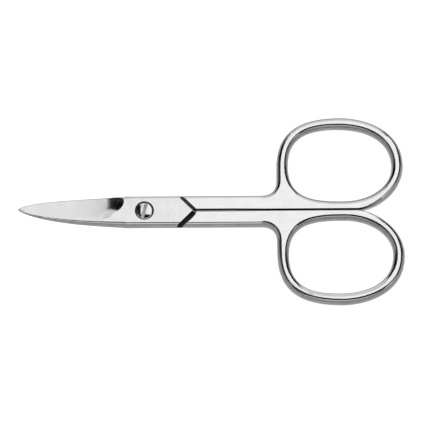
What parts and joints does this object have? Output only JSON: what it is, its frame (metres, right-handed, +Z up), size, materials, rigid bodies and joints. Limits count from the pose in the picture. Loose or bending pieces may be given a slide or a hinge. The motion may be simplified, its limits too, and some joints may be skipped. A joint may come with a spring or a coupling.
{
  "type": "nail scissors",
  "caption": "Curved nail scissors with oval finger bows; the halves turn on a slotted screw sunk flush in the joint.",
  "frame": {"origin": "middle of the footprint on the surface that the closed scissors lie on, blades curving up", "axes": "+X from the tip to the finger bows, +Y to the upper half's bow, +Z up through the joint"},
  "size_m": [0.09, 0.0454, 0.005],
  "materials": {
    "upper_half_steel": "mirror polished, with fine brush marks on the flat facets",
    "lower_half_steel": "mirror polished, with fine brush marks on the flat facets",
    "screw_steel": "turned and polished"
  },
  "bodies": {
    "lower_half": {"lower_half": "lower_half_steel", "pivot_screw": "screw_steel"},
    "upper_half": {"upper_half": "upper_half_steel"}
  },
  "joints": [
    {"name": "pivot", "type": "hinge", "parent": "lower_half", "child": "upper_half", "pos_m": [-0.01558, 0, 0.0016], "axis": [0, 0, 1], "range_deg": [0, 70]}
  ]
}
